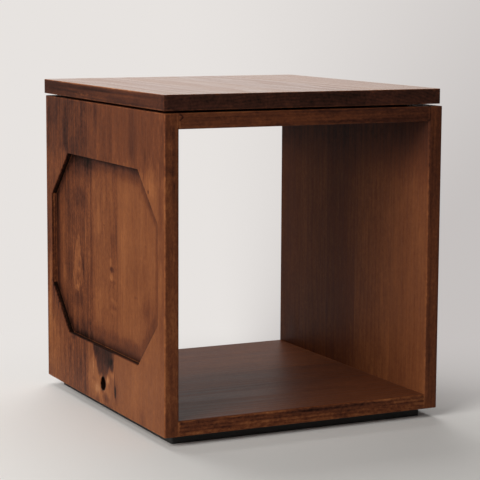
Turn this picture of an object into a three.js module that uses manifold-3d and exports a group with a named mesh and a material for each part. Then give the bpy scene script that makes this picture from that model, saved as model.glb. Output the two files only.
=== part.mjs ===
// Record storage stand: an open wooden box on a dark recessed plinth, with an eight-sided pocket
// routed into the outside of each side panel, and a loose platform resting on four pads above it.
//
// Millimetres. X runs to the right, Y from the front to the back and Z up, and the floor is z = 0.
// The box is built about its own middle. At the end the whole stand is moved so that the origin
// is the middle of its footprint, which the drifted platform widens a little.

import * as THREE from 'three';
import { mergeVertices, toCreasedNormals } from 'three/addons/utils/BufferGeometryUtils.js';
import Module from 'manifold-3d';

// ---------------------------------------------------------------- driving dimensions

// The box: two full-height side panels, with a top and a bottom board butted between them.
const BOX_WIDTH = 400;
const BOX_DEPTH = 420;
const BOX_HEIGHT = 406;
const SIDE_THICKNESS = 20;
const TOP_BOARD_THICKNESS = 20;
const BOTTOM_BOARD_THICKNESS = 20;
const UPRIGHT_EDGE_RADIUS = 2.5;
const RIM_EDGE_RADIUS = 1;
const MOUTH_ROUNDOVER = 3;

// The pocket in each side panel: an octagon with unequal corner cuts.
const POCKET_DEPTH = 7.5;
const POCKET_END_MARGIN = 21.5;
const POCKET_TOP_MARGIN = 76;
const POCKET_BOTTOM_MARGIN = 77;
const POCKET_CUT_ALONG_DEPTH = 64;
const POCKET_CUT_ALONG_HEIGHT = 63;
const POCKET_CORNER_RADIUS = 5;
const POCKET_RIM_EASE = 0.6;

// The open knot low on the left side panel.
const KNOT_DIAMETER = 17.6;
const KNOT_DEPTH = 12;
const KNOT_FROM_FRONT = 206;
const KNOT_ABOVE_PANEL_FOOT = 29;
const KNOT_RIM_EASE = 0.5;

// Fluted dowels that join each board to each side panel.
const DOWEL_DIAMETER = 8;
const DOWEL_IN_SIDE = 12;
const DOWEL_IN_BOARD = 20;
const DOWEL_END_CHAMFER = 1;
const DOWEL_FLUTES = 10;
const DOWEL_FLUTE_DEPTH = 0.4;
const DOWELS_PER_JOINT = 4;
const DOWEL_FROM_EDGE = 40;
const DOWEL_CLEARANCE = 0.3;

// The plinth: four flat rails under the box, set back from its faces.
const PLINTH_HEIGHT = 13;
const PLINTH_SETBACK = 17;
const RAIL_WIDTH = 30;
const PLINTH_CORNER_RADIUS = 3;

// Countersunk screws that hold the rails to the bottom board.
const SCREW_LENGTH = 25;
const SCREW_SHANK_DIAMETER = 4;
const SCREW_HEAD_DIAMETER = 8;
const SCREW_HEAD_RIM = 0.6;
const SCREW_POINT_LENGTH = 4;
const SCREW_TIP_DIAMETER = 0.8;
const SCREW_RECESS = 1;
const SCREW_CLEARANCE = 0.3;
const SCREW_DRIVE_SPAN = 4.4;
const SCREW_DRIVE_SLOT = 1;
const SCREW_DRIVE_DEPTH = 1.6;
const END_RAIL_SCREWS = 3;
const END_RAIL_SCREW_INSET = 33;

// The loose platform and the round pads stuck under it.
const PLATFORM_NARROWER_THAN_BOX = 2;
const PLATFORM_DEEPER_THAN_BOX = 1;
const PLATFORM_THICKNESS = 20;
const PLATFORM_CORNER_RADIUS = 2;
const PLATFORM_RIM_RADIUS = 1;
const PLATFORM_DRIFT_LEFT = 2.3;
const PLATFORM_DRIFT_BACK = 1;
const PAD_DIAMETER = 30;
const PAD_THICKNESS = 3;
const PAD_EDGE_CHAMFER = 0.5;
const PAD_FROM_EDGE = 45;

// Fineness of the round forms, and how far a cutter reaches past the face that it enters.
const ARC_STEPS = 4;
const ROUND_SIDES = 32;
const SMALL_HOLE_SIDES = 16;
const OVERRUN = 2;
const CREASE_ANGLE = Math.PI / 6;

// ---------------------------------------------------------------- levels and half sizes

const BOX_FOOT = PLINTH_HEIGHT;
const BOX_TOP = BOX_FOOT + BOX_HEIGHT;
const SHELF_TOP = BOX_FOOT + BOTTOM_BOARD_THICKNESS;
const CEILING = BOX_TOP - TOP_BOARD_THICKNESS;
const PLATFORM_FOOT = BOX_TOP + PAD_THICKNESS;
const HALF_WIDTH = BOX_WIDTH / 2;
const HALF_DEPTH = BOX_DEPTH / 2;
const INNER_HALF_WIDTH = HALF_WIDTH - SIDE_THICKNESS;
const PLINTH_HALF_WIDTH = HALF_WIDTH - PLINTH_SETBACK;
const PLINTH_HALF_DEPTH = HALF_DEPTH - PLINTH_SETBACK;
const PLATFORM_WIDTH = BOX_WIDTH - PLATFORM_NARROWER_THAN_BOX;
const PLATFORM_DEPTH = BOX_DEPTH + PLATFORM_DEEPER_THAN_BOX;

// ---------------------------------------------------------------- finishes

const WALNUT_STAIN = { color: 0x7a4a2e, roughness: 0.5, metalness: 0 };
const BLACK_PAINT = { color: 0x15120f, roughness: 0.6, metalness: 0 };
const BARE_BEECH = { color: 0xcfa878, roughness: 0.8, metalness: 0 };
const ZINC_STEEL = { color: 0x9d9a92, roughness: 0.35, metalness: 1 };
const BLACK_RUBBER = { color: 0x121212, roughness: 0.9, metalness: 0 };

// ---------------------------------------------------------------- joining and cutting

const wasm = await Module();
wasm.setup();

function toSolid(geometry) {
  const bare = geometry.clone();
  bare.deleteAttribute('normal');
  bare.deleteAttribute('uv');
  const welded = mergeVertices(bare);
  const mesh = new wasm.Mesh({
    numProp: 3,
    vertProperties: new Float32Array(welded.attributes.position.array),
    triVerts: new Uint32Array(welded.index.array),
  });
  return new wasm.Manifold(mesh);
}

function toGeometry(solid) {
  const mesh = solid.getMesh();
  const geometry = new THREE.BufferGeometry();
  geometry.setAttribute('position', new THREE.BufferAttribute(mesh.vertProperties, 3));
  geometry.setIndex(new THREE.BufferAttribute(mesh.triVerts, 1));
  return geometry;
}

function cut(geometry, cutters) {
  let solid = toSolid(geometry);
  for (const cutter of cutters) {
    solid = solid.subtract(toSolid(cutter));
  }
  return toGeometry(solid);
}

function common(first, second) {
  return toGeometry(toSolid(first).intersect(toSolid(second)));
}

// ---------------------------------------------------------------- basic forms

function block(lowX, highX, lowY, highY, lowZ, highZ) {
  const geometry = new THREE.BoxGeometry(highX - lowX, highY - lowY, highZ - lowZ);
  return geometry.translate((lowX + highX) / 2, (lowY + highY) / 2, (lowZ + highZ) / 2);
}

function roundedRectangle(width, depth, radius) {
  const x = width / 2 - radius;
  const y = depth / 2 - radius;
  const shape = new THREE.Shape();
  shape.absarc(x, y, radius, 0, Math.PI / 2);
  shape.absarc(-x, y, radius, Math.PI / 2, Math.PI);
  shape.absarc(-x, -y, radius, Math.PI, Math.PI * 1.5);
  shape.absarc(x, -y, radius, Math.PI * 1.5, Math.PI * 2);
  shape.closePath();
  return shape;
}

// A block standing on z = 0 with rounded upright edges and eased top and bottom edges.
function easedBlock(width, depth, height, uprightRadius, rimRadius) {
  const plan = roundedRectangle(
    width - 2 * rimRadius,
    depth - 2 * rimRadius,
    uprightRadius - rimRadius,
  );
  const geometry = new THREE.ExtrudeGeometry(plan, {
    depth: height - 2 * rimRadius,
    bevelThickness: rimRadius,
    bevelSize: rimRadius,
    bevelSegments: ARC_STEPS - 1,
    curveSegments: ARC_STEPS,
  });
  return geometry.translate(0, 0, rimRadius);
}

// A solid of revolution about the Z axis. The profile lists [radius, height] from the lower end of
// the axis to its upper end.
function turned(profile, sides) {
  const points = profile.map(([radius, height]) => new THREE.Vector2(radius, height));
  return new THREE.LatheGeometry(points, sides).rotateX(Math.PI / 2);
}

// A solid skinned over rings of points that all turn anticlockwise about the way they advance.
// Its two end rings are convex, so a fan of triangles closes each of them.
function skinRings(rings) {
  const count = rings[0].length;
  const faces = [];
  for (let ring = 0; ring + 1 < rings.length; ring += 1) {
    for (let point = 0; point < count; point += 1) {
      const here = ring * count + point;
      const beside = ring * count + (point + 1) % count;
      faces.push(here, beside, beside + count);
      faces.push(here, beside + count, here + count);
    }
  }
  const last = (rings.length - 1) * count;
  for (let point = 1; point + 1 < count; point += 1) {
    faces.push(0, point + 1, point);
    faces.push(last, last + point, last + point + 1);
  }
  const geometry = new THREE.BufferGeometry().setFromPoints(rings.flat());
  geometry.setIndex(faces);
  return geometry;
}

// ---------------------------------------------------------------- cutters

// Rounds both mouths of the compartment: a plug as wide as the opening that flares along a quarter
// circle until it has grown by the round-over's radius at the face of the box.
function mouthFlare() {
  const rings = [];
  const addRing = (grow, advance) => {
    const x = INNER_HALF_WIDTH + grow;
    const low = SHELF_TOP - grow;
    const high = CEILING + grow;
    rings.push([
      new THREE.Vector3(-x, low, advance),
      new THREE.Vector3(x, low, advance),
      new THREE.Vector3(x, high, advance),
      new THREE.Vector3(-x, high, advance),
    ]);
  };
  for (let step = 0; step <= ARC_STEPS; step += 1) {
    const angle = step / ARC_STEPS * Math.PI / 2;
    const grow = MOUTH_ROUNDOVER * (1 - Math.cos(angle));
    addRing(grow, HALF_DEPTH - MOUTH_ROUNDOVER * (1 - Math.sin(angle)));
  }
  addRing(MOUTH_ROUNDOVER, HALF_DEPTH + OVERRUN);
  return skinRings(rings).rotateX(Math.PI / 2);
}

// A convex outline with each corner replaced by an arc that meets both of its sides, then grown
// outward by some amount. The corners are given anticlockwise.
function roundCorners(corners, radius, grow) {
  return corners.flatMap((corner, index) => {
    const before = corners[(index + corners.length - 1) % corners.length];
    const after = corners[(index + 1) % corners.length];
    const back = before.clone().sub(corner).normalize();
    const ahead = after.clone().sub(corner).normalize();
    const halfAngle = Math.acos(back.dot(ahead)) / 2;
    const inward = back.clone().add(ahead).normalize();
    const centre = corner.clone().addScaledVector(inward, radius / Math.sin(halfAngle));
    const start = corner.clone().addScaledVector(back, radius / Math.tan(halfAngle)).sub(centre);
    start.setLength(radius + grow);
    const turn = Math.PI - 2 * halfAngle;
    return Array.from({ length: ARC_STEPS + 1 }, (_, step) => {
      const spoke = start.clone().rotateAround(new THREE.Vector2(), turn * step / ARC_STEPS);
      return spoke.add(centre);
    });
  });
}

// The corners of the pocket as (Y, Z).
function pocketCorners() {
  const y = HALF_DEPTH - POCKET_END_MARGIN;
  const low = BOX_FOOT + POCKET_BOTTOM_MARGIN;
  const high = BOX_TOP - POCKET_TOP_MARGIN;
  const flatY = y - POCKET_CUT_ALONG_DEPTH;
  return [
    [flatY, low],
    [y, low + POCKET_CUT_ALONG_HEIGHT],
    [y, high - POCKET_CUT_ALONG_HEIGHT],
    [flatY, high],
    [-flatY, high],
    [-y, high - POCKET_CUT_ALONG_HEIGHT],
    [-y, low + POCKET_CUT_ALONG_HEIGHT],
    [-flatY, low],
  ].map(([alongDepth, height]) => new THREE.Vector2(alongDepth, height));
}

// The router's cut for the left panel: rings of (Y, Z) points that advance along X from outside
// the panel to the pocket's floor, with a slight chamfer where the wall meets the panel's face.
function pocketCutter() {
  const corners = pocketCorners();
  const stations = [
    [POCKET_RIM_EASE, -OVERRUN],
    [POCKET_RIM_EASE, 0],
    [0, POCKET_RIM_EASE],
    [0, POCKET_DEPTH],
  ];
  const rings = stations.map(([grow, inward]) => (
    roundCorners(corners, POCKET_CORNER_RADIUS, grow)
      .map((point) => new THREE.Vector3(inward - HALF_WIDTH, point.x, point.y))
  ));
  return skinRings(rings);
}

function knotCutter() {
  const radius = KNOT_DIAMETER / 2;
  const cutter = turned([
    [0, 0],
    [radius, 0],
    [radius, KNOT_DEPTH - KNOT_RIM_EASE],
    [radius + KNOT_RIM_EASE, KNOT_DEPTH],
    [radius + KNOT_RIM_EASE, KNOT_DEPTH + OVERRUN],
    [0, KNOT_DEPTH + OVERRUN],
  ], ROUND_SIDES);
  cutter.rotateY(-Math.PI / 2);
  return cutter.translate(
    KNOT_DEPTH - HALF_WIDTH,
    KNOT_FROM_FRONT - HALF_DEPTH,
    BOX_FOOT + KNOT_ABOVE_PANEL_FOOT,
  );
}

// ---------------------------------------------------------------- dowels

// Where the dowels stand on the left side of the box. Those on the right are their mirror images.
function dowelPlaces() {
  const span = BOX_DEPTH - 2 * DOWEL_FROM_EDGE;
  const levels = [
    ['top', BOX_TOP - TOP_BOARD_THICKNESS / 2],
    ['bottom', BOX_FOOT + BOTTOM_BOARD_THICKNESS / 2],
  ];
  return levels.flatMap(([level, height]) => (
    Array.from({ length: DOWELS_PER_JOINT }, (_, index) => ({
      level,
      number: index + 1,
      y: DOWEL_FROM_EDGE - HALF_DEPTH + span * index / (DOWELS_PER_JOINT - 1),
      z: height,
    }))
  ));
}

// A fluted dowel along X, from x = 0. Its ends taper to plain rings below the flutes.
function dowelForm() {
  const length = DOWEL_IN_SIDE + DOWEL_IN_BOARD;
  const ridge = DOWEL_DIAMETER / 2;
  const stations = [
    [0, ridge - DOWEL_END_CHAMFER, 0],
    [DOWEL_END_CHAMFER, ridge, DOWEL_FLUTE_DEPTH],
    [length - DOWEL_END_CHAMFER, ridge, DOWEL_FLUTE_DEPTH],
    [length, ridge - DOWEL_END_CHAMFER, 0],
  ];
  const rings = stations.map(([advance, radius, flute]) => (
    Array.from({ length: 2 * DOWEL_FLUTES }, (_, point) => {
      const angle = point / DOWEL_FLUTES * Math.PI;
      const reach = radius - (point % 2) * flute;
      return new THREE.Vector3(advance, reach * Math.cos(angle), reach * Math.sin(angle));
    })
  ));
  return skinRings(rings);
}

// The holes for all the dowels, right through the joints of both sides of the box.
function dowelHoles() {
  const length = DOWEL_IN_SIDE + DOWEL_IN_BOARD + 2 * DOWEL_CLEARANCE;
  const radius = DOWEL_DIAMETER / 2 + DOWEL_CLEARANCE;
  const middle = INNER_HALF_WIDTH + (DOWEL_IN_SIDE - DOWEL_IN_BOARD) / 2;
  return [-middle, middle].flatMap((x) => dowelPlaces().map(({ y, z }) => (
    new THREE.CylinderGeometry(radius, radius, length, SMALL_HOLE_SIDES)
      .rotateZ(Math.PI / 2)
      .translate(x, y, z)
  )));
}

function addDowels(stand) {
  for (const { level, number, y, z } of dowelPlaces()) {
    const left = dowelForm().translate(-INNER_HALF_WIDTH - DOWEL_IN_SIDE, y, z);
    const right = dowelForm().translate(INNER_HALF_WIDTH - DOWEL_IN_BOARD, y, z);
    add(stand, `dowel_${level}_left_${number}`, left, BARE_BEECH);
    add(stand, `dowel_${level}_right_${number}`, right, BARE_BEECH);
  }
}

// ---------------------------------------------------------------- screws

// Where the screws enter the rails. The end rails have a row along X, and each side rail has its
// screws midway between the dowels of the joint beside it.
function screwPlaces() {
  const places = [];
  const endY = PLINTH_HALF_DEPTH - RAIL_WIDTH / 2;
  const endSpan = 2 * (PLINTH_HALF_WIDTH - END_RAIL_SCREW_INSET);
  for (let index = 0; index < END_RAIL_SCREWS; index += 1) {
    const x = endSpan * (index / (END_RAIL_SCREWS - 1) - 0.5);
    places.push({ rail: 'front', number: index + 1, x, y: -endY });
    places.push({ rail: 'back', number: index + 1, x, y: endY });
  }
  const sideX = PLINTH_HALF_WIDTH - RAIL_WIDTH / 2;
  const dowelSpacing = (BOX_DEPTH - 2 * DOWEL_FROM_EDGE) / (DOWELS_PER_JOINT - 1);
  const sideY = HALF_DEPTH - DOWEL_FROM_EDGE - dowelSpacing / 2;
  [-sideY, sideY].forEach((y, index) => {
    places.push({ rail: 'left', number: index + 1, x: -sideX, y });
    places.push({ rail: 'right', number: index + 1, x: sideX, y });
  });
  return places;
}

// The outline of a screw standing head down, or of the hole that leaves some room round it.
function screwProfile(room) {
  const head = SCREW_HEAD_DIAMETER / 2 + room;
  const shank = SCREW_SHANK_DIAMETER / 2 + room;
  const tip = SCREW_TIP_DIAMETER / 2 + room;
  const neck = SCREW_HEAD_RIM + (SCREW_HEAD_DIAMETER - SCREW_SHANK_DIAMETER) / 2;
  return [
    [0, 0],
    [head, 0],
    [head, SCREW_HEAD_RIM],
    [shank, neck],
    [shank, SCREW_LENGTH - SCREW_POINT_LENGTH],
    [tip, SCREW_LENGTH + room],
    [0, SCREW_LENGTH + room],
  ];
}

function screwForm() {
  const long = SCREW_DRIVE_SPAN / 2;
  const half = SCREW_DRIVE_SLOT / 2;
  const slot = block(-long, long, -half, half, -OVERRUN, SCREW_DRIVE_DEPTH);
  const blank = turned(screwProfile(0), SMALL_HOLE_SIDES);
  return cut(blank, [slot, slot.clone().rotateZ(Math.PI / 2)]);
}

// The counterbore from the floor side up to the head, and the countersunk hole above it.
function screwHole(x, y) {
  const [, [mouth], ...countersink] = screwProfile(SCREW_CLEARANCE);
  const below = -SCREW_RECESS - OVERRUN;
  const profile = [[0, below], [mouth, below], ...countersink];
  return turned(profile, SMALL_HOLE_SIDES).translate(x, y, SCREW_RECESS);
}

function addScrews(stand) {
  const form = screwForm();
  for (const { rail, number, x, y } of screwPlaces()) {
    const screw = form.clone().translate(x, y, SCREW_RECESS);
    add(stand, `plinth_screw_${rail}_${number}`, screw, ZINC_STEEL);
  }
}

// ---------------------------------------------------------------- pieces

// The whole box as if it were solid: all four panels are sanded to this shape once joined.
function boxEnvelope() {
  const shape = easedBlock(
    BOX_WIDTH,
    BOX_DEPTH,
    BOX_HEIGHT,
    UPRIGHT_EDGE_RADIUS,
    RIM_EDGE_RADIUS,
  );
  return shape.translate(0, 0, BOX_FOOT);
}

function sidePanel(isLeft) {
  const low = isLeft ? -HALF_WIDTH : INNER_HALF_WIDTH;
  const blank = block(low, low + SIDE_THICKNESS, -HALF_DEPTH, HALF_DEPTH, BOX_FOOT, BOX_TOP);
  const front = mouthFlare();
  const pocket = pocketCutter();
  const cutters = [front, front.clone().rotateZ(Math.PI), ...dowelHoles()];
  if (isLeft) {
    cutters.push(pocket, knotCutter());
  } else {
    cutters.push(pocket.rotateZ(Math.PI));
  }
  return cut(common(blank, boxEnvelope()), cutters);
}

function board(low, high, extraCutters) {
  const blank = block(
    -INNER_HALF_WIDTH,
    INNER_HALF_WIDTH,
    -HALF_DEPTH,
    HALF_DEPTH,
    low,
    high,
  );
  const front = mouthFlare();
  const cutters = [front, front.clone().rotateZ(Math.PI), ...dowelHoles(), ...extraCutters];
  return cut(common(blank, boxEnvelope()), cutters);
}

function addBox(stand) {
  const screwHoles = screwPlaces().map(({ x, y }) => screwHole(x, y));
  add(stand, 'left_side_panel', sidePanel(true), WALNUT_STAIN);
  add(stand, 'right_side_panel', sidePanel(false), WALNUT_STAIN);
  add(stand, 'top_board', board(CEILING, BOX_TOP, []), WALNUT_STAIN);
  add(stand, 'bottom_board', board(BOX_FOOT, SHELF_TOP, screwHoles), WALNUT_STAIN);
}

// The end rails run the full width of the plinth and the side rails fit between them.
function addPlinth(stand) {
  const plan = roundedRectangle(
    2 * PLINTH_HALF_WIDTH,
    2 * PLINTH_HALF_DEPTH,
    PLINTH_CORNER_RADIUS,
  );
  const whole = new THREE.ExtrudeGeometry(plan, {
    depth: PLINTH_HEIGHT,
    bevelEnabled: false,
    curveSegments: ARC_STEPS,
  });
  const x = PLINTH_HALF_WIDTH;
  const y = PLINTH_HALF_DEPTH;
  const innerX = x - RAIL_WIDTH;
  const innerY = y - RAIL_WIDTH;
  const rails = {
    front: block(-x, x, -y, -innerY, 0, PLINTH_HEIGHT),
    back: block(-x, x, innerY, y, 0, PLINTH_HEIGHT),
    left: block(-x, -innerX, -innerY, innerY, 0, PLINTH_HEIGHT),
    right: block(innerX, x, -innerY, innerY, 0, PLINTH_HEIGHT),
  };
  for (const [rail, blank] of Object.entries(rails)) {
    const holes = screwPlaces()
      .filter((place) => place.rail === rail)
      .map((place) => screwHole(place.x, place.y));
    add(stand, `plinth_${rail}_rail`, cut(common(blank, whole), holes), BLACK_PAINT);
  }
}

function addPlatform(stand) {
  const platform = new THREE.Group();
  platform.position.set(-PLATFORM_DRIFT_LEFT, PLATFORM_DRIFT_BACK, PLATFORM_FOOT);
  stand.add(platform);
  const slab = easedBlock(
    PLATFORM_WIDTH,
    PLATFORM_DEPTH,
    PLATFORM_THICKNESS,
    PLATFORM_CORNER_RADIUS,
    PLATFORM_RIM_RADIUS,
  );
  add(platform, 'platform', slab, WALNUT_STAIN);
  const radius = PAD_DIAMETER / 2;
  const pad = turned([
    [0, 0],
    [radius - PAD_EDGE_CHAMFER, 0],
    [radius, PAD_EDGE_CHAMFER],
    [radius, PAD_THICKNESS],
    [0, PAD_THICKNESS],
  ], ROUND_SIDES).translate(0, 0, -PAD_THICKNESS);
  const x = PLATFORM_WIDTH / 2 - PAD_FROM_EDGE;
  const y = PLATFORM_DEPTH / 2 - PAD_FROM_EDGE;
  add(platform, 'pad_front_left', pad.clone().translate(-x, -y, 0), BLACK_RUBBER);
  add(platform, 'pad_front_right', pad.clone().translate(x, -y, 0), BLACK_RUBBER);
  add(platform, 'pad_back_left', pad.clone().translate(-x, y, 0), BLACK_RUBBER);
  add(platform, 'pad_back_right', pad.clone().translate(x, y, 0), BLACK_RUBBER);
}

// ---------------------------------------------------------------- the stand

function add(parent, name, geometry, finish) {
  const mesh = new THREE.Mesh(
    toCreasedNormals(geometry, CREASE_ANGLE),
    new THREE.MeshStandardMaterial(finish),
  );
  mesh.name = name;
  parent.add(mesh);
}

// The middle of the smallest upright block that holds the box and the platform.
function footprintMiddle() {
  const reach = (half, platformHalf, drift) => (
    (Math.max(half, platformHalf + drift) - Math.max(half, platformHalf - drift)) / 2
  );
  return new THREE.Vector2(
    reach(HALF_WIDTH, PLATFORM_WIDTH / 2, -PLATFORM_DRIFT_LEFT),
    reach(HALF_DEPTH, PLATFORM_DEPTH / 2, PLATFORM_DRIFT_BACK),
  );
}

const stand = new THREE.Group();
const middle = footprintMiddle();
stand.position.set(-middle.x, -middle.y, 0);
addBox(stand);
addDowels(stand);
addPlinth(stand);
addScrews(stand);
addPlatform(stand);

export default stand;
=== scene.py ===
"""Finishes, stage and camera for the record storage stand.

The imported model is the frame: metres, +Z up, the open front faces -Y and the origin is on the
floor. Every wooden piece keeps its own shape and gets a procedural softwood finish, stained
walnut, whose grain runs the way that the real piece's does.
"""

import math
from collections import namedtuple
from functools import partialmethod

import bpy
from bpy.props import FloatProperty, FloatVectorProperty, PointerProperty
from mathutils import Matrix, Vector


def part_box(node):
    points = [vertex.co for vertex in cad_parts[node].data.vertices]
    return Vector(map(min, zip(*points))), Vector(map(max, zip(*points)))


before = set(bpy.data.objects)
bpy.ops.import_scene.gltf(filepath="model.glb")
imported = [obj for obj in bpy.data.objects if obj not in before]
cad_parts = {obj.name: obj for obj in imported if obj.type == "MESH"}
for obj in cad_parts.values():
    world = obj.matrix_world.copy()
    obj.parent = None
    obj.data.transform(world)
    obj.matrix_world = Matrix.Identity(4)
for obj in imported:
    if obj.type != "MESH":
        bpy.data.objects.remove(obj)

bl_info = {
    "name": "Record Storage Stand Finishes",
    "version": (1, 0, 0),
    "blender": (4, 5, 0),
    "location": "View3D > Sidebar > Record Stand",
    "description": "Stained softwood, paint and hardware finishes for a record storage stand",
    "category": "Material",
}

CATEGORY = "Record Stand"
MM = 0.001


# ---------------- settings

def colour_setting(label, description, default):
    """A colour property. The default is in linear light."""
    return FloatVectorProperty(
        name=label, description=description, default=default,
        subtype="COLOR", size=3, min=0.0, max=1.0,
    )


def length_setting(label, description, default):
    """A length property in metres."""
    return FloatProperty(
        name=label, description=description, default=default, min=0.0, unit="LENGTH")


def angle_setting(label, description, default):
    """An angle property. The default is in degrees."""
    return FloatProperty(
        name=label, description=description, default=math.radians(default), subtype="ANGLE")


class StainSettings(bpy.types.PropertyGroup):
    """The walnut stain and the wood under it."""

    # The darkest stain, which also paints the shade in the open knot's hole and in the crack.
    pooled: colour_setting(
        "Pooled stain", "Where the stain lies thickest, in corners and knots", (0.0085, 0.0038, 0.0022))
    dark: colour_setting("Dark stain", "Streaks that took the most stain", (0.056, 0.0182, 0.0108))
    middle: colour_setting("Middle stain", "The usual tone of the panels", (0.147, 0.0450, 0.0185))
    light: colour_setting(
        "Light stain", "Close-grained stretches that took little stain", (0.288, 0.102, 0.036))
    bare: colour_setting(
        "Worn wood", "Wood that shows where the stain has worn through", (0.500, 0.250, 0.115))
    ring_spacing: length_setting(
        "Growth ring spacing", "Distance between growth rings across the grain", 0.0042)
    fibre_width: length_setting("Fibre width", "Width of the finest streaks", 0.0016)
    wear_width: length_setting("Edge wear width", "How far the worn line reaches from an edge", 0.0022)
    relief: length_setting("Grain relief", "Height of the grain above the pores", 0.00012)


class HardwareSettings(bpy.types.PropertyGroup):
    """Everything that is not stained wood."""

    paint: colour_setting("Plinth paint", "Matt black paint of the plinth", (0.0060, 0.0050, 0.0045))
    rubber: colour_setting("Pad rubber", "Rubber of the pads", (0.012, 0.012, 0.012))
    beech: colour_setting("Dowel beech", "Bare beech of the dowels", (0.62, 0.40, 0.21))
    zinc: colour_setting("Screw zinc", "Zinc plating of the screws", (0.56, 0.55, 0.52))


class StageSettings(bpy.types.PropertyGroup):
    """Camera, lamps and floor."""

    camera_place: FloatVectorProperty(
        name="Camera place", description="Where the camera stands", size=3,
        subtype="TRANSLATION", unit="LENGTH", default=(-1.0783, -2.2013, 0.5667))
    camera_heading: angle_setting("Camera heading", "Turn from the front view towards the right", 26.268)
    camera_tilt: angle_setting("Camera tilt", "How far the camera looks down", 7.924)
    camera_roll: angle_setting("Camera roll", "How far the camera leans", 0.295)
    camera_lens: FloatProperty(
        name="Camera lens", description="Focal length on a 36 mm wide sensor",
        default=133.85, min=10.0, unit="CAMERA")
    key_power: FloatProperty(
        name="Key power", description="Power of the lamp on the left, in watts", default=67.0, min=0.0)
    top_power: FloatProperty(
        name="Top power", description="Power of the lamp above, in watts", default=44.0, min=0.0)
    backdrop: colour_setting("Backdrop", "Pale colour behind the stand", (0.800, 0.768, 0.745))
    far_backdrop: colour_setting(
        "Backdrop on the right", "The backdrop where it falls off to the right", (0.560, 0.530, 0.520))
    floor: colour_setting("Floor", "Pale paper floor", (0.800, 0.785, 0.765))
    ambient: FloatProperty(
        name="Ambient", description="Light that the room itself gives", default=0.11, min=0.0)


# ---------------- shader building

class Graph:
    """A node tree with short words for the nodes that a procedural finish is made of."""

    def __init__(self, tree):
        self.tree = tree

    def add(self, kind, values=None, **settings):
        """Adds a node, sets its fields, and links or sets each named socket."""
        made = self.tree.nodes.new(kind)
        for field, value in settings.items():
            setattr(made, field, value)
        for socket, value in (values or {}).items():
            self.put(made.inputs[socket], value)
        return made

    def put(self, socket, value):
        if isinstance(value, bpy.types.NodeSocket):
            self.tree.links.new(value, socket)
        else:
            socket.default_value = value

    def math(self, operation, *values):
        node = self.add("ShaderNodeMath", operation=operation)
        for socket, value in zip(node.inputs, values):
            self.put(socket, value)
        return node.outputs[0]

    def plus(self, *values):
        total = values[0]
        for value in values[1:]:
            total = self.math("ADD", total, value)
        return total

    def times(self, *values):
        product = values[0]
        for value in values[1:]:
            product = self.math("MULTIPLY", product, value)
        return product

    minus = partialmethod(math, "SUBTRACT")
    over = partialmethod(math, "DIVIDE")
    least = partialmethod(math, "MINIMUM")
    most = partialmethod(math, "MAXIMUM")
    size = partialmethod(math, "ABSOLUTE")
    flip = partialmethod(math, "SUBTRACT", 1.0)

    def ease(self, value, low, high, start=0.0, end=1.0, curve="SMOOTHSTEP"):
        """A smooth step from start to end while value goes from low to high."""
        node = self.add(
            "ShaderNodeMapRange",
            {"Value": value, "From Min": low, "From Max": high, "To Min": start, "To Max": end},
            interpolation_type=curve,
        )
        return node.outputs[0]

    def slide(self, value, low, high, start=0.0, end=1.0):
        """A straight ramp from start to end, held at both ends."""
        return self.ease(value, low, high, start, end, "LINEAR")

    def mix(self, factor, first, second):
        """A colour between two colours."""
        node = self.add("ShaderNodeMix", data_type="RGBA", clamp_factor=True)
        self.put(node.inputs[0], factor)
        self.put(node.inputs[6], first)
        self.put(node.inputs[7], second)
        return node.outputs[2]

    def split(self, vector):
        return self.add("ShaderNodeSeparateXYZ", {"Vector": vector}).outputs

    def join(self, x, y, z):
        return self.add("ShaderNodeCombineXYZ", {"X": x, "Y": y, "Z": z}).outputs[0]

    def stretch(self, vector, scales, shift=None):
        """The vector scaled by three numbers and moved by a socket's value along all axes."""
        node = self.add("ShaderNodeVectorMath", {0: vector, 1: scales}, operation="MULTIPLY")
        if shift is None:
            return node.outputs[0]
        moved = self.add(
            "ShaderNodeVectorMath",
            {0: node.outputs[0], 1: self.join(shift, shift, shift)},
            operation="ADD",
        )
        return moved.outputs[0]

    def noise(self, vector, detail, roughness, distortion=0.0):
        """Fractal noise about 0, mostly between -1 and 1."""
        node = self.add("ShaderNodeTexNoise", {
            "Vector": vector, "Scale": 1.0, "Detail": detail,
            "Roughness": roughness, "Distortion": distortion,
        })
        return self.slide(node.outputs[0], 0.0, 1.0, -2.5, 2.5)


def new_group(name, inputs, outputs):
    """A shader node group. Each socket is given as a default number, or as its kind in words."""
    tree = bpy.data.node_groups.new(name, "ShaderNodeTree")
    for in_out, sockets in (("INPUT", inputs), ("OUTPUT", outputs)):
        for label, start in sockets.items():
            kind = start if isinstance(start, str) else "Float"
            socket = tree.interface.new_socket(label, in_out=in_out, socket_type="NodeSocket" + kind)
            if kind != start:
                socket.default_value = start
    graph = Graph(tree)
    given = tree.nodes.new("NodeGroupInput").outputs
    result = tree.nodes.new("NodeGroupOutput").inputs
    return graph, given, result


def place_group(graph, name, values):
    """Puts a group that was built before into a material and returns its outputs."""
    node = graph.add("ShaderNodeGroup", node_tree=bpy.data.node_groups[name])
    for socket, value in values.items():
        graph.put(node.inputs[socket], value)
    return node.outputs


def opaque(colour):
    return (*colour[:3], 1.0)


# ---------------- shared effects

# The pocket in the outer face of each side panel, as (Y, Z).
POCKET_MIDDLE = (-0.75 * MM, 216.5 * MM)
POCKET_HALF_LENGTH = 188.5 * MM
POCKET_HALF_HEIGHT = 126.5 * MM
POCKET_CUT_LENGTH = 64 * MM
POCKET_CUT_HEIGHT = 63 * MM

# Noise scales are waves per metre across, through and along the grain.
RING_WANDER_SCALES = (9.0, 9.0, 2.2)
RING_RIPPLE_SCALES = (60.0, 60.0, 9.0)
RING_WANDER_ACROSS = 5 * MM
RING_WANDER_BEHIND = 3 * MM
RING_RIPPLE = 0.5 * MM
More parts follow.
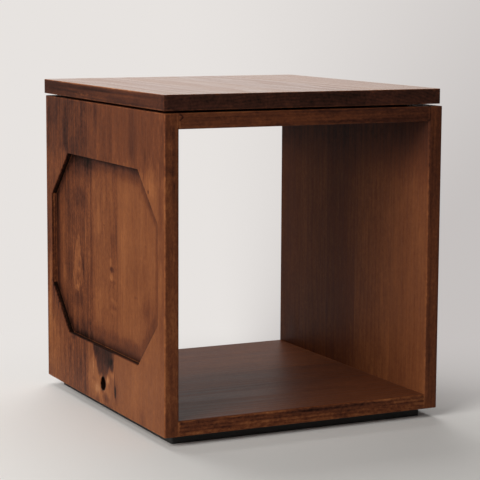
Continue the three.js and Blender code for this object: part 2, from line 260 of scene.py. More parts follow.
# Where the dark late wood comes and goes, as shares of a ring.
LATE_WOOD_COMES = (0.30, 0.84)
LATE_WOOD_GOES = (1.0, 0.90)

FINE_ALONG = 16.0
BROAD_SCALES = (125.0, 125.0, 7.0)
BAND_SCALES = (44.0, 44.0, 2.6)
FLECK_SCALES = (700.0, 700.0, 45.0)
FLECK_EDGE = (0.75, 1.2)


def build_growth_rings():
    """Rings about a pith that lies behind the board, wavy along the grain."""
    graph, given, result = new_group("Growth Rings", {
        "Position": "Vector", "Seed": 0.0, "Spacing": 0.004, "Pith Across": 0.0, "Pith Behind": 0.06,
    }, {"Ring": "Float"})
    place = given["Position"]
    wander = graph.noise(graph.stretch(place, RING_WANDER_SCALES, given["Seed"]), 2.0, 0.45)
    ripple = graph.noise(graph.stretch(place, RING_RIPPLE_SCALES, given["Seed"]), 2.0, 0.5)
    across, through, _ = graph.split(place)
    bent = graph.plus(
        across, graph.times(wander, RING_WANDER_ACROSS), graph.times(ripple, RING_RIPPLE))
    off_axis = graph.minus(bent, given["Pith Across"])
    behind = graph.plus(through, given["Pith Behind"], graph.times(wander, RING_WANDER_BEHIND))
    radius = graph.math("SQRT", graph.plus(
        graph.times(off_axis, off_axis), graph.times(behind, behind)))
    turn = graph.math("FRACT", graph.over(radius, given["Spacing"]))
    late = graph.times(graph.ease(turn, *LATE_WOOD_COMES), graph.ease(turn, *LATE_WOOD_GOES))
    graph.put(result["Ring"], late)


def build_fibres():
    """Streaks along the grain at three widths, and short dark resin flecks."""
    graph, given, result = new_group(
        "Wood Fibres", {"Position": "Vector", "Seed": 0.0, "Width": 0.001},
        {"Fine": "Float", "Broad": "Float", "Bands": "Float", "Fleck": "Float"})
    fine_scale = graph.over(0.5, given["Width"])
    shifted = graph.stretch(given["Position"], (1.0, 1.0, 1.0), graph.times(given["Seed"], 0.37))
    x, y, z = graph.split(shifted)
    fine_place = graph.join(
        graph.times(x, fine_scale), graph.times(y, fine_scale), graph.times(z, FINE_ALONG))
    fleck = graph.noise(graph.stretch(shifted, FLECK_SCALES), 1.0, 0.5)
    graph.put(result["Fine"], graph.noise(fine_place, 2.0, 0.6))
    graph.put(result["Broad"], graph.noise(graph.stretch(shifted, BROAD_SCALES), 3.0, 0.62, 0.25))
    graph.put(result["Bands"], graph.noise(graph.stretch(shifted, BAND_SCALES), 2.0, 0.5))
    graph.put(result["Fleck"], graph.ease(fleck, *FLECK_EDGE))


# The least width that a tapered mark keeps, as a share of its own.
NARROWEST_TAPER = 0.08
# Beside a knot, what a distance along the grain counts for, and how soft the knot's middle is.
KNOT_LENGTHWAYS = 0.62
KNOT_MIDDLE = 0.2


def build_stain_mark():
    """A soft ragged patch on the board's face: 1 inside and 0 outside.

    Square 2 gives an ellipse and more gives a box. Taper 1 narrows it to a point at its lower end.
    """
    graph, given, result = new_group("Stain Mark", {
        "Across": 0.0, "Along": 0.0, "Middle Across": 0.0, "Middle Along": 0.0,
        "Half Width": 0.01, "Half Length": 0.01,
        "Softness": 0.5, "Taper": 0.0, "Square": 2.0, "Ragged": 0.0,
    }, {"Mask": "Float"})
    along = graph.over(graph.minus(given["Along"], given["Middle Along"]), given["Half Length"])
    width = graph.times(given["Half Width"], graph.most(
        graph.plus(1.0, graph.times(given["Taper"], along)), NARROWEST_TAPER))
    sideways = graph.over(graph.minus(given["Across"], given["Middle Across"]), width)
    reach = graph.math("POWER", graph.plus(
        graph.math("POWER", graph.size(sideways), given["Square"]),
        graph.math("POWER", graph.size(along), given["Square"])),
        graph.over(1.0, given["Square"]))
    worn = graph.plus(reach, given["Ragged"])
    low = graph.flip(given["Softness"])
    high = graph.plus(1.0, given["Softness"])
    graph.put(result["Mask"], graph.ease(worn, high, low))


def build_knot_flow():
    """How far the grain is pushed sideways where it flows round a knot."""
    graph, given, result = new_group("Knot Flow", {
        "Across": 0.0, "Along": 0.0, "Middle Across": 0.0, "Middle Along": 0.0, "Radius": 0.01,
    }, {"Shift": "Float"})
    sideways = graph.minus(given["Across"], given["Middle Across"])
    along = graph.times(graph.minus(given["Along"], given["Middle Along"]), KNOT_LENGTHWAYS)
    square = graph.times(given["Radius"], given["Radius"])
    reach = graph.plus(
        graph.times(sideways, sideways), graph.times(along, along), graph.times(square, KNOT_MIDDLE))
    graph.put(result["Shift"], graph.times(sideways, graph.over(square, reach), -1.0))


def build_pocket_reach():
    """How far a point lies inside the outline of the eight-sided pocket. Outside is negative."""
    graph, given, result = new_group(
        "Pocket Reach", {"Across": 0.0, "Along": 0.0}, {"Inside": "Float"})
    middle_across, middle_along = POCKET_MIDDLE
    across = graph.size(graph.minus(given["Across"], middle_across))
    along = graph.size(graph.minus(given["Along"], middle_along))
    end = graph.minus(POCKET_HALF_LENGTH, across)
    level = graph.minus(POCKET_HALF_HEIGHT, along)
    slant = math.hypot(POCKET_CUT_LENGTH, POCKET_CUT_HEIGHT)
    leaning = graph.minus(
        graph.plus(graph.times(end, POCKET_CUT_HEIGHT), graph.times(level, POCKET_CUT_LENGTH)),
        POCKET_CUT_LENGTH * POCKET_CUT_HEIGHT)
    graph.put(result["Inside"], graph.least(graph.least(end, level), graph.over(leaning, slant)))


def build_edge_distance():
    """The distance from the nearest edge of an upright box, for a point on its surface."""
    graph, given, result = new_group(
        "Edge Distance", {"Position": "Vector", "Low Corner": "Vector", "High Corner": "Vector"},
        {"Distance": "Float"})
    gaps = []
    sides = zip(*(graph.split(given[name]) for name in ("Position", "Low Corner", "High Corner")))
    for value, low, high in sides:
        gaps.append(graph.most(graph.least(graph.minus(value, low), graph.minus(high, value)), 0.0))
    first, second, third = gaps
    middle = graph.most(
        graph.least(first, second), graph.least(graph.most(first, second), third))
    graph.put(result["Distance"], middle)


Cloud = namedtuple("Cloud", "across along detail roughness distortion tone")

# What each part of the figure adds to the tone: the rings, the fibres, and then clouds of noise,
# from broad blotches to specks.
RING_TONE = -0.035
FIBRE_TONES = {"Fine": 0.024, "Broad": 0.044, "Bands": 0.026, "Fleck": -0.05}
CLOUDS = (
    Cloud(26.0, 11.0, 3.0, 0.55, 0.6, 0.026),
    Cloud(95.0, 48.0, 3.0, 0.6, 0.8, 0.034),
    Cloud(290.0, 200.0, 2.0, 0.6, 0.0, 0.040),
    Cloud(900.0, 320.0, 1.0, 0.5, 0.0, 0.012),
)
END_GRAIN_TONE = -0.20
WEAR_TONE = 0.22
# The stain's colours from the lowest tone up, and the tone between one and the next.
STAIN_COLOURS = ("Pooled", "Dark", "Middle", "Light", "Bare")
TONE_STEP = 0.25
STAIN_ROUGHNESS = 0.46


def build_softwood():
    """Stained softwood. Tone 0 is pooled stain, 0.5 the usual tone and 1 worn wood."""
    graph, given, result = new_group("Stained Softwood", {
        "Position": "Vector", "Seed": 0.0, "Tone": 0.5, "Wear": 0.0, "End Grain": 0.0, "Figure": 1.0,
        "Ring Spacing": 0.004, "Fibre Width": 0.001, "Pith Across": 0.0, "Pith Behind": 0.06,
        **{name: "Color" for name in STAIN_COLOURS},
    }, {"Colour": "Color", "Roughness": "Float", "Height": "Float"})
    place = given["Position"]
    seed = given["Seed"]
    rings = place_group(graph, "Growth Rings", {
        "Position": place, "Seed": seed, "Spacing": given["Ring Spacing"],
        "Pith Across": given["Pith Across"], "Pith Behind": given["Pith Behind"],
    })
    fibres = place_group(graph, "Wood Fibres", {
        "Position": place, "Seed": seed, "Width": given["Fibre Width"],
    })
    clouds = [
        graph.noise(
            graph.stretch(place, (cloud.across, cloud.across, cloud.along), seed),
            cloud.detail, cloud.roughness, cloud.distortion)
        for cloud in CLOUDS]
    speck = clouds[-1]
    face = graph.flip(given["End Grain"])
    figure = graph.plus(
        graph.times(rings["Ring"], RING_TONE),
        *(graph.times(fibres[name], tone, face) for name, tone in FIBRE_TONES.items()),
        *(graph.times(noise, cloud.tone) for noise, cloud in zip(clouds, CLOUDS)),
    )
    tone = graph.plus(
        given["Tone"],
        graph.times(figure, given["Figure"]),
        graph.times(given["End Grain"], END_GRAIN_TONE),
        graph.times(given["Wear"], WEAR_TONE),
    )
    colour = given[STAIN_COLOURS[0]]
    for number, name in enumerate(STAIN_COLOURS[1:]):
        low = TONE_STEP * number
        colour = graph.mix(graph.slide(tone, low, low + TONE_STEP), colour, given[name])
    roughness = graph.plus(
        STAIN_ROUGHNESS, graph.times(rings["Ring"], -0.05), graph.times(fibres["Broad"], 0.03),
        graph.times(speck, 0.02), graph.times(given["End Grain"], 0.12))
    height = graph.plus(
        graph.times(fibres["Fine"], 0.5, face), graph.times(rings["Ring"], 0.6),
        graph.times(fibres["Fleck"], -0.8), graph.times(speck, 0.2))
    graph.put(result["Colour"], colour)
    graph.put(result["Roughness"], roughness)
    graph.put(result["Height"], height)


def build_shared_effects():
    build_growth_rings()
    build_fibres()
    build_stain_mark()
    build_knot_flow()
    build_pocket_reach()
    build_edge_distance()
    build_softwood()


# ---------------- wood figure

Stave = namedtuple("Stave", "start tone figure", defaults=(1.0,))
Knot = namedtuple("Knot", "across along radius")
Mark = namedtuple(
    "Mark", "across along half_width half_length tone softness taper square",
    defaults=(0.6, 0.0, 2.0))


def mark_rows(*rows):
    return tuple(Mark(*row) for row in rows)


# The staves of each board: where one starts, across the board in metres, its tone, and how
# strongly its figure shows.
LEFT_STAVES = (
    Stave(-0.2108, 0.62, 0.8),
    Stave(-0.0405, 0.57, 1.2),
    Stave(0.0500, 0.49, 1.8),
    Stave(0.1500, 0.48, 1.6),
)
RIGHT_STAVES = (
    Stave(-0.2108, 0.54, 0.7),
    Stave(-0.1180, 0.56),
    Stave(-0.0200, 0.47),
    Stave(0.0620, 0.54),
    Stave(0.1440, 0.49),
)
BOARD_STAVES = (
    Stave(-0.2108, 0.46),
    Stave(-0.0900, 0.43),
    Stave(0.0200, 0.49),
    Stave(0.1200, 0.45),
)
PLATFORM_STAVES = (
    Stave(-0.2007, 0.48),
    Stave(-0.1050, 0.50),
    Stave(-0.0120, 0.47),
    Stave(0.0830, 0.52),
)

# Marks on the left panel's face, in millimetres from the middle and above the floor.
LEFT_FACE_MARKS = mark_rows(
    # the top margin
    (0, 386, 230, 46, -0.13, 0.25, 0, 6),
    (-125, 386, 100, 40, -0.04, 0.4, 0, 4),
    (190, 396, 12, 24, -0.10),
    (132, 376, 9, 32, -0.12, 0.5),
    (106, 378, 15, 20, 0.07, 0.8),
    (70, 385, 20, 30, -0.03, 0.8),
    (34, 384, 3, 26, 0.07, 0.8),
    (16, 400, 8, 14, -0.07, 0.7),
    (2, 372, 7, 30, 0.05, 0.8),
    (-20, 378, 3, 24, 0.05, 0.8),
    (-48, 372, 9, 40, 0.05, 0.8),
    (-108, 384, 13, 32, -0.10),
    (-132, 360, 9, 14, 0.06, 0.8),
    (-150, 361, 3, 9, -0.10),
    (-160, 317.6, 2.2, 2.6, -0.22, 0.5),
    (-172, 322, 9, 11, 0.08, 0.7),
    # beside the pocket
    (-201, 250, 9, 170, -0.07, 0.5, 0, 4),
    (-198, 205, 5, 26, 0.10),
    (-196, 300, 8, 26, -0.06, 0.8),
    (194, 100, 11, 80, 0.20, 0.6, -0.3),
    (196, 150, 3, 30, 0.08),
    (170, 60, 9, 44, 0.12, 0.7),
    (186, 60, 2, 40, -0.08),
    (150, 70, 5, 40, 0.08, 0.7),
    (158, 84, 2, 30, -0.08),
    (160, 56, 48, 46, 0.06, 0.5, 0, 3),
    (133, 64, 3, 34, 0.07),
    # torn fibres along the lower rear corner of the pocket
    (184, 146, 1.6, 8, -0.22),
    (178, 138, 1.6, 8, -0.20),
    (171, 131, 1.6, 8, -0.22),
    (163, 123, 1.8, 7, -0.18),
    (154, 114, 1.8, 6, -0.14),
    # the bottom margin
    (124.4, 64, 1.2, 24, -0.14, 0.5),
    (103, 87, 6, 3, -0.14),
    (115, 69, 4, 4.5, -0.14),
    (105, 72, 3, 4, 0.12),
    (76, 50, 5, 22, -0.10),
    (60, 60, 2, 26, -0.08),
    (92, 40, 5, 20, -0.06, 0.7),
    (138, 50, 4, 26, -0.05, 0.7),
    # the pale halo of the knot, the dark wedge above it and the dark figure below
    (4, 46, 44, 27, 0.15, 0.35, 0, 3),
    # the dark knot, with painted shade on the walls of its hole
    (-4.75, 42, 9.1, 9.1, -1.2, 0.14),
    (-6, 75, 28, 23, -0.42, 0.22, 0.48, 6),
    (-26, 71, 6, 8, -0.08, 0.5),
    (-49, 42, 8, 10, -0.12, 0.7),
    (-20, 51, 10, 6, 0.13, 0.5),
    (16, 32, 8, 6, 0.12),
    (30, 70, 2.4, 18, 0.12),
    (-36, 72, 6.5, 9, -0.36, 0.4),
    (2, 66, 9, 12, -0.07, 0.7),
    (-4.75, 42, 13, 12, -0.10, 0.4),
    (-36, 59, 7, 5, 0.10),
    (27, 43, 6, 3, -0.10, 0.7),
    (-28, 42, 4, 4, -0.10, 0.7),
    (-14, 25, 10, 6, -0.22, 0.6, -0.4),
    (13, 18, 7, 5, -0.12, 0.7),
    (-3, 31, 5, 2.5, -0.14),
    # the crack in front of the knot, with painted shade in its gap
    (-48.3, 38, 2.6, 7.5, -0.60, 0.4),
    (-45.5, 54, 1.8, 11, -0.24, 0.5),
    (-52, 30, 6, 9, -0.10, 0.7),
    # the front stave's foot
    (-112, 56, 16, 26, 0.04, 0.8),
    (-143, 22, 7, 8, -0.09, 0.7),
)

# The inside of the open knot, where no light comes.
OPEN_KNOT = mark_rows((-4.75, 42, 15, 15, -1.2, 0.2))

# Marks on the floor of the left pocket, in the same millimetres.
LEFT_FLOOR_MARKS = mark_rows(
    # the darker bands along the top and the foot, the one along the top partly painted shade under the
    # top wall
    (-5, 336, 135, 9, -0.09, 0.35, 0, 6),
    (30, 99, 130, 13, -0.09, 0.5, 0, 4),
    # the rear staves
    (110, 326, 60, 13, -0.12),
    (60, 332, 30, 8, -0.07, 0.7),
    (163, 215, 9, 70, 0.03, 0.7),
    (158, 165, 6, 12, 0.11, 0.7),
    (138, 262, 8, 48, -0.10),
    (136, 186, 9, 32, -0.10),
    (97, 284, 20, 14, -0.14),
    (122, 262, 4, 40, -0.08),
    (104, 196, 19, 42, -0.06, 0.3, -0.42, 3),
    (104, 192, 14, 34, 0.22, 0.22, -0.42, 3),
    (99, 191, 5, 5, -0.12, 0.7),
    (104, 172, 8, 6, -0.12, 0.7),
    (108.5, 156.5, 7, 4, 0.17, 0.4, -0.3),
    (108, 139, 20, 11, -0.10),
    (84, 246, 2.6, 17, -0.13),
    (84, 188, 3, 14, -0.13),
    (76, 238, 1.8, 28, 0.10),
    (71, 225, 2.4, 40, -0.07),
    (62, 114, 6, 4, -0.10, 0.7),
    # the middle stave
    (32, 252, 12, 20, 0.05, 0.8),
    (24, 150, 18, 24, 0.05, 0.8),
    (20, 278, 2.4, 10, -0.08),
    (6.5, 255.7, 2.4, 1.2, -0.14),
    (-20, 232, 2.6, 16, -0.09),
    (-26, 242, 1.6, 18, -0.07),
    (-16, 208, 4, 5, 0.13, 0.5),
    (-20, 198.6, 6, 3.2, -0.24, 0.5),
    (-18.5, 188, 6, 4.5, 0.16, 0.5),
    (-24, 182, 10, 2.4, -0.08, 0.7),
    (-35.6, 248, 2.2, 24, -0.14, 0.5),
    (-26, 149, 11, 3, -0.08, 0.7),
    (-22, 158, 9, 2.4, 0.06, 0.7),
    (-24, 142, 10, 2.2, 0.06, 0.7),
    # the front stave
    (-136, 322, 13, 9, -0.08),
    (-153, 305, 16, 11, -0.10),
    (-170, 288, 10, 9, -0.08),
    (-62, 230, 8, 50, 0.04, 0.7),
    (-54, 200, 1.6, 66, 0.07),
    (-49, 150, 1.2, 40, -0.05),
    (-104, 209, 26, 26, -0.06, 0.7),
    (-101.5, 173.6, 5, 1.8, -0.10, 0.7),
    (-144, 160, 22, 18, -0.08, 0.7),
    (-140, 159, 6, 5, -0.07, 0.7),
    (-134, 244.7, 2.2, 1.8, -0.09, 0.7),
)

# Marks on the front edges of the boards, in millimetres above the floor and from the middle.
FRONT_MARKS = {
    "top_board": mark_rows(
        # an open knot ring beside the left panel
        (414, -178.5, 4.4, 4.4, -0.26, 0.2, 0, 1.3),
        (414, -178.5, 2.4, 2.4, 0.26, 0.3, 0, 1.3),
        (409, -60, 1.2, 60, 0.05),
        (403, 60, 1.4, 70, -0.05),
        (405, 150, 2.4, 26, -0.06),
    ),
    "bottom_board": mark_rows(
        (32.5, -168, 1.3, 11, 0.26, 0.5),
        (32.0, -100, 1.2, 9, 0.20),
        (31.0, -30, 1.6, 46, 0.09),
        (28.5, 60, 2.2, 40, -0.10),
        (31.5, 112, 1.2, 16, 0.16),
        (26.5, 150, 1.4, 22, 0.12),
        (22.5, 128, 1.0, 16, 0.08),
        (21.0, -60, 2.0, 70, 0.06),
        (18.0, 20, 1.6, 60, -0.07),
        (16.0, -140, 2.2, 34, 0.07, 0.7),
    ),
}

# Marks on the platform's left edge, in millimetres above the floor and from the middle, and on its
# front edge, from the middle and above the floor.
PLATFORM_LEFT_MARKS = mark_rows(
    (441.5, 20, 1.4, 200, 0.30),
    (439.0, -120, 1.4, 60, 0.08),
    (436.0, 60, 1.6, 90, -0.09),
    (433.0, -60, 1.4, 80, 0.07),
    (430.0, 110, 1.6, 60, -0.08),
    (425.0, -120, 1.6, 70, -0.08),
    (432.0, -207, 11, 5, -0.07, 0.4),
)
PLATFORM_SPECKS = mark_rows(
    (428.4, 62, 2.2, 26, 1.0, 0.5),
    (426.6, 10, 1.6, 26, 0.6, 0.5),
)
PLATFORM_FRONT_MARKS = mark_rows(
    (-60, 431, 1.0, 10, 0.06),
    (-56, 433, 1.0, 9, 0.05),
    (-52, 430, 1.0, 10, 0.05),
    (-198, 432, 4, 11, 0.05),
    (150, 428, 30, 3, 0.06, 0.7),
    (60, 436, 46, 2, -0.05, 0.7),
    (-120, 427, 40, 2, 0.05, 0.7),
)

# Knots that the grain of the left panel flows round, in metres.
LEFT_KNOTS = (
    Knot(-0.0050, 0.0420, 0.0120),
    Knot(-0.0200, 0.1985, 0.0045),
    Knot(0.1010, 0.1900, 0.0060),
    Knot(-0.1600, 0.3176, 0.0025),
)

GLUE_LINE_WIDTH = 0.8 * MM
GLUE_LINE_TONE = -0.08
# The ragged outline of the marks: the noise of its fringe and its lobes, and how far they reach.
FRINGE_SCALES = (330.0, 70.0, 1.0)
LOBE_SCALES = (85.0, 30.0, 1.0)
FRINGE_REACH = 0.16
LOBE_REACH = 0.22


def stave_facts(graph, across, staves):
    """The tone, the figure and the number of the stave at this distance across the board."""
    tone = staves[0].tone
    figure = staves[0].figure
    number = 0.0
    for before, stave in zip(staves, staves[1:]):
        past = graph.math("GREATER_THAN", across, stave.start)
        tone = graph.plus(tone, graph.times(past, stave.tone - before.tone))
        figure = graph.plus(figure, graph.times(past, stave.figure - before.figure))
        number = graph.plus(number, past)
    return tone, figure, number


def glue_lines(graph, across, staves):
    """1 on the thin dark lines where two staves meet."""
    total = 0.0
    for stave in staves[1:]:
        gap = graph.size(graph.minus(across, stave.start))
        total = graph.plus(total, graph.ease(gap, GLUE_LINE_WIDTH, 0.0))
    return total


def mark_tone(graph, across, along, marks):
    """What a list of marks adds to the tone."""
    place = graph.join(across, along, 0.0)
    fringe = graph.noise(graph.stretch(place, FRINGE_SCALES), 3.0, 0.6)
    lobes = graph.noise(graph.stretch(place, LOBE_SCALES), 2.0, 0.5)
    ragged = graph.plus(graph.times(fringe, FRINGE_REACH), graph.times(lobes, LOBE_REACH))
    total = 0.0
    for mark in marks:
        mask = place_group(graph, "Stain Mark", {
            "Across": across, "Along": along,
            "Middle Across": mark.across * MM, "Middle Along": mark.along * MM,
            "Half Width": mark.half_width * MM, "Half Length": mark.half_length * MM,
            "Softness": mark.softness, "Taper": mark.taper, "Square": mark.square,
            "Ragged": ragged,
        })["Mask"]
        total = graph.plus(total, graph.times(mask, mark.tone))
    return total


# ---------------- materials

def new_material(name, **fields):
    """An empty material with a Principled shader, its sockets set to plain values."""
    material = bpy.data.materials.new(name)
    material.use_nodes = True
    shader = material.node_tree.nodes["Principled BSDF"]
    graph = Graph(material.node_tree)
    for socket, value in fields.items():
        graph.put(shader.inputs[socket.replace("_", " ")], value)
    return material, graph, shader.inputs


def dress(start, material, end=""):
    """Gives a material to the CAD nodes whose names start and end so. Their meshes stay."""
    for name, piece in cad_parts.items():
        if name.startswith(start) and name.endswith(end):
            piece.data.materials.clear()
            piece.data.materials.append(material)


# Where a face counts as end grain, and as looking along an axis, by its normal.
END_GRAIN = (0.35, 0.95)
FACING = (0.5, 0.9)
# Worn edges: how fine the chips are, how far they move the line, and how faint it gets between.
CHIP_SCALES = (90.0, 90.0, 90.0)
CHIP_REACH = 0.55
CHIP_RANGE = (-0.9, 0.9)
FAINTEST_WEAR = 0.35
# How far one stave's figure lies along the grain from the next one's, and where its pith may be.
STAVE_OFFSET = 1.7
SEED_STEP = 3.1
PITH_ACROSS = (-0.20, 0.20)
PITH_BEHIND = (0.03, 0.16)


class Board:
    """The graph of one wooden piece, whose grain runs along one axis, 0 for X to 2 for Z."""

    def __init__(self, name, node, grain_axis, staves, seed, sheen=0.05):
        self.material, self.graph, self.shader = new_material(
            name, IOR=1.5, Specular_IOR_Level=sheen)
        graph = self.graph
        self.node = node
        self.seed = seed
        self.place = graph.add("ShaderNodeTexCoord").outputs["Object"]
        x, y, z = graph.split(self.place)
        self.across, self.through, self.along = {0: (y, z, x), 1: (x, z, y), 2: (y, x, z)}[grain_axis]
        self.tone, self.figure, self.number = stave_facts(graph, self.across, staves)
        self.shade(GLUE_LINE_TONE, glue_lines(graph, self.across, staves))
        self.flow = self.across
        self.normal = graph.split(graph.add("ShaderNodeTexCoord").outputs["Normal"])
        self.end = graph.ease(graph.size(self.normal[grain_axis]), *END_GRAIN)
        self.gloss = 0.0

    def facing(self, axis, side=0):
        """1 on the faces that look along an axis: both, or only the one on side 1 or -1."""
        normal = self.normal[axis]
        lean = self.graph.times(normal, side) if side else self.graph.size(normal)
        return self.graph.ease(lean, *FACING)

    def shade(self, amount, *masks):
        """Adds an amount of tone where all the masks are 1."""
        self.tone = self.graph.plus(self.tone, self.graph.times(*masks, amount))

    def liven(self, mask, factor):
        """Strengthens the figure where the mask is 1."""
        self.figure = self.graph.times(self.figure, self.graph.slide(mask, 0.0, 1.0, 1.0, factor))

    def bend_round(self, knots):
        """Lets the grain flow round each knot."""
        for knot in knots:
            shift = place_group(self.graph, "Knot Flow", {
                "Across": self.across, "Along": self.along, "Middle Across": knot.across,
                "Middle Along": knot.along, "Radius": knot.radius,
            })["Shift"]
            self.flow = self.graph.plus(self.flow, shift)

    def edge_wear(self, width):
        """A broken worn line along the edges of the piece's box."""
        graph = self.graph
        low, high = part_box(self.node)
        edge = place_group(graph, "Edge Distance", {
            "Position": self.place, "Low Corner": low, "High Corner": high})["Distance"]
        chips = graph.noise(graph.stretch(self.place, CHIP_SCALES), 3.0, 0.6)
        reach = graph.times(width, graph.plus(1.0, graph.times(chips, CHIP_REACH)))
        return graph.times(
            graph.ease(edge, reach, 0.0), graph.ease(chips, *CHIP_RANGE, FAINTEST_WEAR, 1.0))

    def finish(self):
        """Joins the wood to the shader and returns the material."""
        settings = bpy.context.scene.stand_stain
        graph = self.graph
        key = graph.plus(self.number, self.seed)
        random = graph.add("ShaderNodeTexWhiteNoise", {"W": key}, noise_dimensions="1D")
        chance = graph.add("ShaderNodeSeparateColor", {"Color": random.outputs["Color"]}).outputs
        shifted = graph.plus(self.along, graph.times(self.number, STAVE_OFFSET))
        wood = place_group(graph, "Stained Softwood", {
            "Position": graph.join(self.flow, self.through, shifted),
            "Seed": graph.times(key, SEED_STEP),
            "Tone": self.tone,
            "Wear": self.edge_wear(settings.wear_width),
            "End Grain": self.end,
            "Figure": self.figure,
            "Ring Spacing": settings.ring_spacing,
            "Fibre Width": settings.fibre_width,
            "Pith Across": graph.slide(chance[0], 0.0, 1.0, *PITH_ACROSS),
            "Pith Behind": graph.slide(chance[1], 0.0, 1.0, *PITH_BEHIND),
            **{name: opaque(getattr(settings, name.lower())) for name in STAIN_COLOURS},
        })
        graph.put(self.shader["Base Color"], wood["Colour"])
        graph.put(self.shader["Roughness"], graph.minus(wood["Roughness"], self.gloss))
        bump = graph.add("ShaderNodeBump", {
            "Height": wood["Height"], "Strength": 0.5, "Distance": settings.relief})
        graph.put(self.shader["Normal"], bump.outputs[0])
        return self.material


# Depths below a side panel's outer face between which a mask comes or goes.
POCKET_COMES = (1.0 * MM, 3.0 * MM)
POCKET_GOES = (11.0 * MM, 10.0 * MM)
WALL_FOOT = (4.0 * MM, 5.4 * MM)
OUTER_PART = (14 * MM, 13 * MM)
KNOT_SIDES = (0.8 * MM, 1.8 * MM)
INNER_FACE = (18.0 * MM, 19.0 * MM)
# Distances in from the pocket's outline, in the same way.
POCKET_EDGE = (-1.5 * MM, -0.5 * MM)
FLOOR_EDGE = (0.3 * MM, 1.0 * MM)
WIDE_WALL_BAND = (40 * MM, 14 * MM)
FRONT_WALL_SHADE = (27 * MM, 17 * MM)
# Places across and along the panel, in the same way.
FRONT_HALF = (0.0, -0.1)
REAR_STRIP = (171 * MM, 174 * MM)
INNER_TOP = (0.30, 0.39)
UPRIGHT_TOP = (0.20, 0.42)
# The tones of the darker bands along the pocket's walls, where the band along the walls of the front half
# is painted shade. The narrow bands have their limits with them.
WIDE_WALL_BAND_TONE = -0.05
FRONT_WALL_SHADE_TONE = -0.10
NARROW_WALL_BANDS = (((14 * MM, 3 * MM), -0.17), ((5 * MM, 1 * MM), -0.10))
REAR_STRIP_TONE = -0.10
# The tones of the pocket's walls and their feet, for upright walls first and then for level ones.
WALL_TONES = (0.19, -0.20)
FOOT_TONES = (-0.17, -0.38)
LEVEL_WALL = (0.0, 0.5)
# Painted light: the inner face a little lighter. Painted shade: the inner face darker towards its top,
# under the top board.
INNER_PAINTED_LIGHT = 0.03
INNER_TOP_PAINTED_SHADE = -0.27
FRONT_TONE = -0.09
# Painted shade: the front faces darker towards their tops, where the key lamp's light falls off.
UPRIGHT_TOP_PAINTED_SHADE = -0.05
FRONT_FIGURE = 2.0
WALL_BAND_WANDER = 2.5 * MM
STRIP_WANDER = 0.8 * MM
WANDER_SCALES = (60.0, 60.0, 60.0)


def side_panel(name, node, staves, seed, face_x, marks=(), floor_marks=(), knots=()):
    """The stain of a side panel, darker along the walls of the pocket, with painted shade along the walls
    of the pocket's front half, on the inner face's top and on the front faces' tops, and painted light on
    the inner face.
    """
    board = Board(name, node, 2, staves, seed)
    graph = board.graph
    board.bend_round(knots)
    depth = graph.size(graph.minus(board.through, face_x))
    sunk = graph.times(graph.ease(depth, *POCKET_COMES), graph.ease(depth, *POCKET_GOES))
    inside = place_group(
        graph, "Pocket Reach", {"Across": board.across, "Along": board.along})["Inside"]
    within = graph.times(sunk, graph.ease(inside, *POCKET_EDGE))
    floor = graph.times(within, graph.ease(inside, *FLOOR_EDGE))
    wander = graph.noise(graph.stretch(board.place, WANDER_SCALES), 3.0, 0.6)
    near_wall = graph.plus(inside, graph.times(wander, WALL_BAND_WANDER))
    # Darker bands along the pocket's walls, and painted shade along the walls of its front half.
    board.shade(WIDE_WALL_BAND_TONE, floor, graph.ease(inside, *WIDE_WALL_BAND))
    in_front = graph.ease(board.across, *FRONT_HALF)
    board.shade(FRONT_WALL_SHADE_TONE, floor, graph.ease(near_wall, *FRONT_WALL_SHADE), in_front)
    for limits, tone in NARROW_WALL_BANDS:
        board.shade(tone, floor, graph.ease(near_wall, *limits))
    strip_edge = graph.plus(board.across, graph.times(wander, STRIP_WANDER))
    board.shade(REAR_STRIP_TONE, floor, graph.ease(strip_edge, *REAR_STRIP))
    wall = graph.minus(within, floor)
    board.shade(graph.ease(board.end, *LEVEL_WALL, *WALL_TONES), wall)
    foot = graph.ease(depth, *WALL_FOOT)
    board.shade(graph.ease(board.end, *LEVEL_WALL, *FOOT_TONES), wall, foot)
    if marks:
        outside = graph.times(graph.flip(within), graph.ease(depth, *OUTER_PART))
        board.shade(mark_tone(graph, board.across, board.along, marks), outside)
        sunk_knot = graph.ease(depth, *KNOT_SIDES)
        board.shade(mark_tone(graph, board.across, board.along, OPEN_KNOT), outside, sunk_knot)
    if floor_marks:
        board.shade(mark_tone(graph, board.across, board.along, floor_marks), floor)
    # Painted light on the inner face, and painted shade towards its top.
    inner = graph.ease(depth, *INNER_FACE)
    board.shade(INNER_PAINTED_LIGHT, inner)
    board.shade(INNER_TOP_PAINTED_SHADE, inner, graph.ease(board.along, *INNER_TOP))
    front = board.facing(1)
    board.shade(FRONT_TONE, front)
    # Painted shade towards the tops of the front faces.
    board.shade(UPRIGHT_TOP_PAINTED_SHADE, front, graph.ease(board.along, *UPRIGHT_TOP))
    board.liven(front, FRONT_FIGURE)
    return board.finish()


# What sets the two level boards apart: the tone that each gains towards the right, painted shade
# on the top board, and how much stronger the figure is on its front edge.
LevelBoard = namedtuple("LevelBoard", "node seed fade front_figure")
LEVEL_BOARDS = (
    LevelBoard("top_board", 21.0, -0.15, 1.6),
    LevelBoard("bottom_board", 27.0, 0.03, 2.6),
)
FADE_ALONG = (-0.18, 0.18)


def level_board(look):
    """The stain of the top or bottom board, with the marks of its front edge."""
    board = Board(f"{look.node}_stain", look.node, 0, BOARD_STAVES, look.seed)
    # Tone towards the right, which on the top board is painted shade.
    board.shade(look.fade, board.graph.ease(board.along, *FADE_ALONG))
    board.liven(board.facing(1), look.front_figure)
    marks = mark_tone(board.graph, board.through, board.along, FRONT_MARKS[look.node])
    board.shade(marks, board.facing(1, -1))
    return board.finish()


PLATFORM_SHEEN = 0.11
